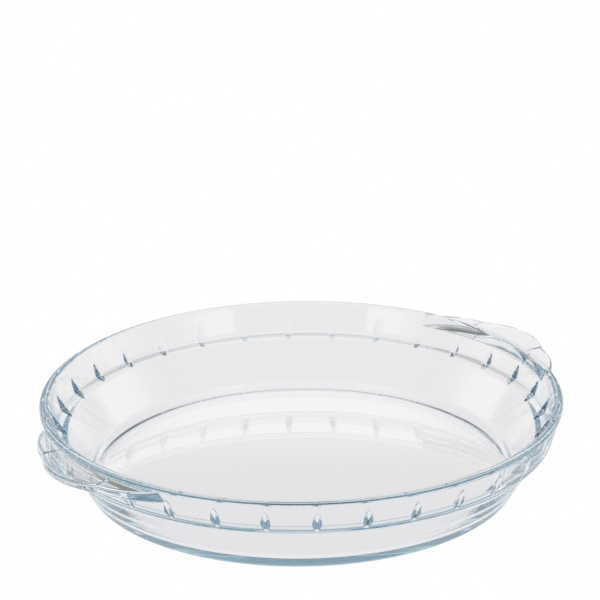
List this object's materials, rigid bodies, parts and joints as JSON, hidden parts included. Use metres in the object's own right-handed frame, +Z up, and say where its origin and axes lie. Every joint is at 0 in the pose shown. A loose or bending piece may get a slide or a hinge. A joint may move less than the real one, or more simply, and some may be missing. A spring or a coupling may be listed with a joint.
{
  "type": "pie dish",
  "caption": "Shallow round clear glass dish with a ledge outside its sloping wall, a ring of short ribs inside, a rounded rim and two opposite flat handles with scalloped edges.",
  "frame": {"origin": "centre of the flat rest face under the floor, on the axis of the bowl", "axes": "+Z up through the open top; the two handles lie along +X and -X; +Y is square to them"},
  "size_m": [0.2586, 0.23, 0.0388],
  "materials": {
    "glass": "clear pressed borosilicate glass, smooth, faint blue-green tint in the thick edges"
  },
  "bodies": {
    "root": {"glass_dish": "glass"}
  },
  "joints": []
}
